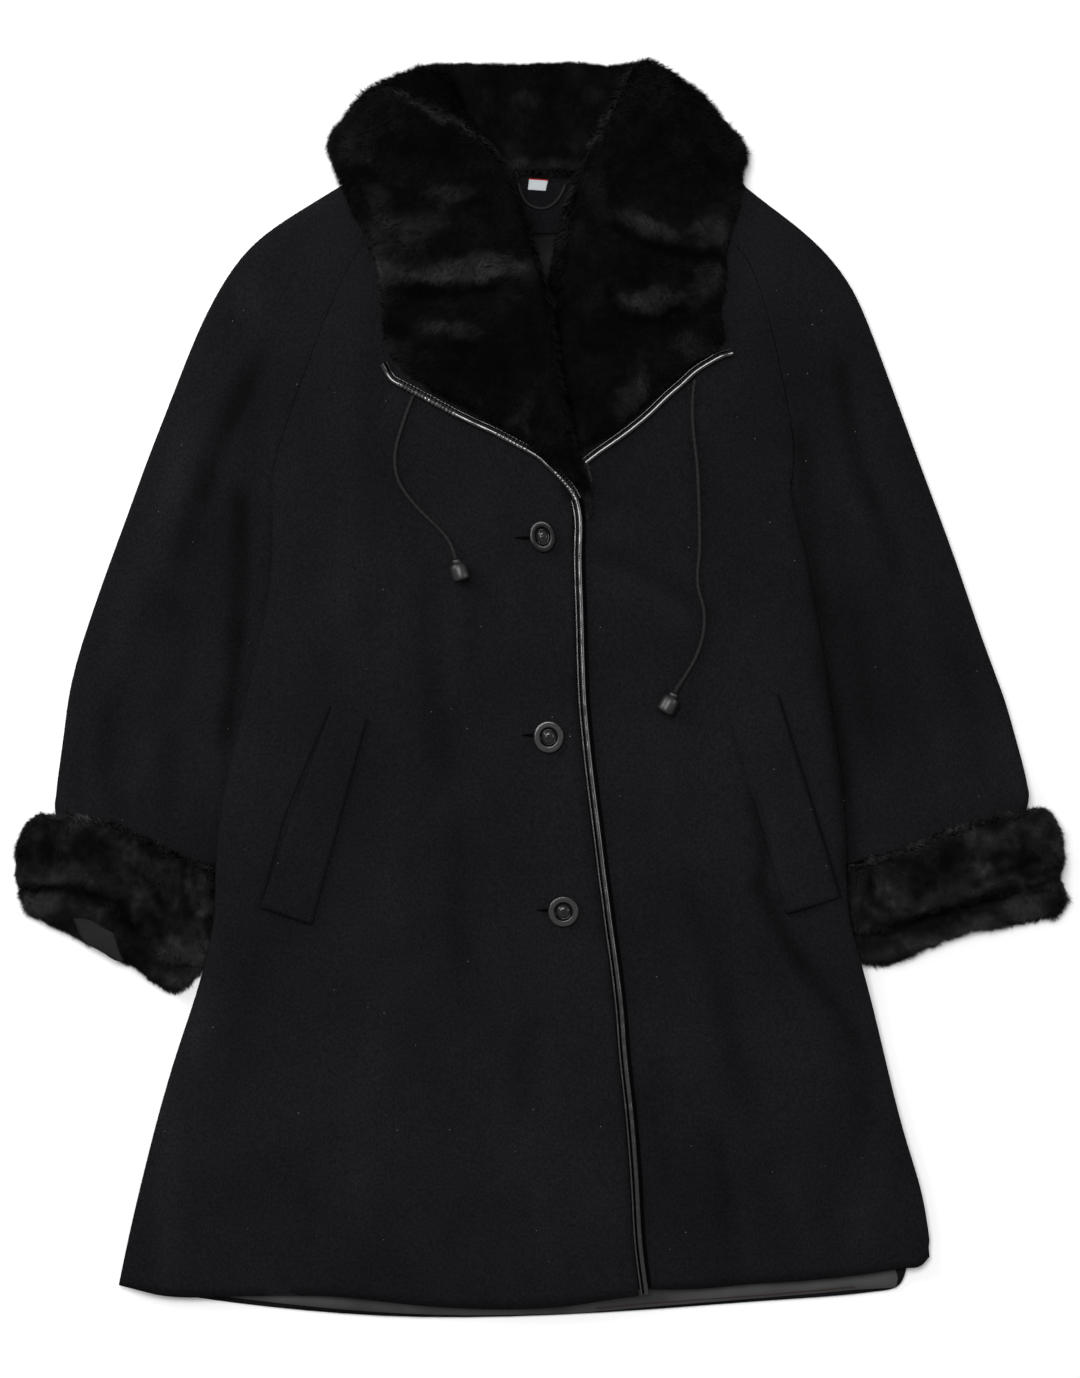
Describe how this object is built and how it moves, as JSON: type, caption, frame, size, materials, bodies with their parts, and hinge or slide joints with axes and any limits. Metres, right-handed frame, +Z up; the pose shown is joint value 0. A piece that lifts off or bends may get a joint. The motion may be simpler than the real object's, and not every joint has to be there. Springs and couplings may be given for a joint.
{
  "type": "oversized coat",
  "caption": "Wide A-line wool coat with raglan sleeves, fur collar and turned-back cuffs, leather bindings, slanted pockets, buttons and drawcords, laid on its back",
  "frame": {"origin": "on the surface that the coat lies on, under the middle of the coat's outline", "axes": "+Z up out of the coat's front, +Y from the hem to the collar, +X from the wearer's right side to the left side"},
  "size_m": [0.8538, 1.0288, 0.0547],
  "materials": {
    "back": "matte wool",
    "back_lining": "satin",
    "neck_facing": "matte wool",
    "front_right": "matte wool",
    "front_left": "matte wool",
    "sleeve_right": "matte wool",
    "sleeve_left": "matte wool",
    "cuff_right": "short dense fur",
    "cuff_left": "short dense fur",
    "sleeve_lining_right": "satin",
    "collar_back": "short dense fur",
    "collar_right": "short dense fur",
    "collar_left": "short dense fur",
    "trim_front": "glossy creased",
    "trim_collar_right": "glossy gathered",
    "trim_collar_left": "glossy creased",
    "welt_right": "matte wool",
    "welt_left": "matte wool",
    "button_1": "polished, horn-like",
    "button_2": "polished, horn-like",
    "button_3": "polished, horn-like",
    "cord_right": "braided cord",
    "toggle_right": "polished, horn-like",
    "cord_left": "braided cord",
    "toggle_left": "polished, horn-like",
    "hanger_loop": "satin",
    "label": "woven, bare"
  },
  "bodies": {
    "root": {"back": "back", "back_lining": "back_lining", "neck_facing": "neck_facing", "front_right": "front_right", "front_left": "front_left", "sleeve_right": "sleeve_right", "sleeve_left": "sleeve_left", "cuff_right": "cuff_right", "cuff_left": "cuff_left", "sleeve_lining_right": "sleeve_lining_right", "collar_back": "collar_back", "collar_right": "collar_right", "collar_left": "collar_left", "trim_front": "trim_front", "trim_collar_right": "trim_collar_right", "trim_collar_left": "trim_collar_left", "welt_right": "welt_right", "welt_left": "welt_left", "button_1": "button_1", "button_2": "button_2", "button_3": "button_3", "cord_right": "cord_right", "toggle_right": "toggle_right", "cord_left": "cord_left", "toggle_left": "toggle_left", "hanger_loop": "hanger_loop", "label": "label"}
  },
  "joints": []
}
